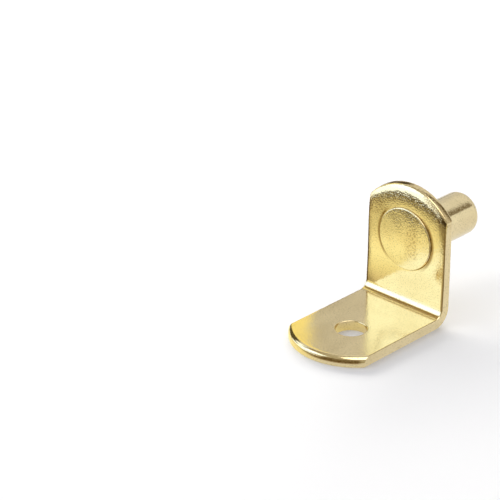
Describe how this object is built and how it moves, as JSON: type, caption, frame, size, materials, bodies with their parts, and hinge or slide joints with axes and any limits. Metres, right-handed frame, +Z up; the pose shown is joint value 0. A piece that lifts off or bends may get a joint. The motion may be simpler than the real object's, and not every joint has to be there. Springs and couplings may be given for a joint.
{
  "type": "shelf support pin",
  "caption": "Angle shelf support: a bent plate with a rounded upright and a rounded tab with a screw hole, and a headed pin riveted through the upright that plugs into a cabinet side.",
  "frame": {"origin": "on the pin's axis, in the plane of the upright's back face, which is where the cabinet side's surface lies in use", "axes": "+Y along the pin to its free end, -Y along the tab to its nose, X across the strip, +Z up, from the tab to the upright's crown"},
  "size_m": [0.014, 0.0324, 0.0193],
  "materials": {
    "plated_plate": "bright tumbled brass plating on stamped steel strip",
    "plated_pin": "bright brass plating on a cold-headed steel pin"
  },
  "bodies": {
    "root": {"angle_plate": "plated_plate", "rivet_pin": "plated_pin"}
  },
  "joints": []
}
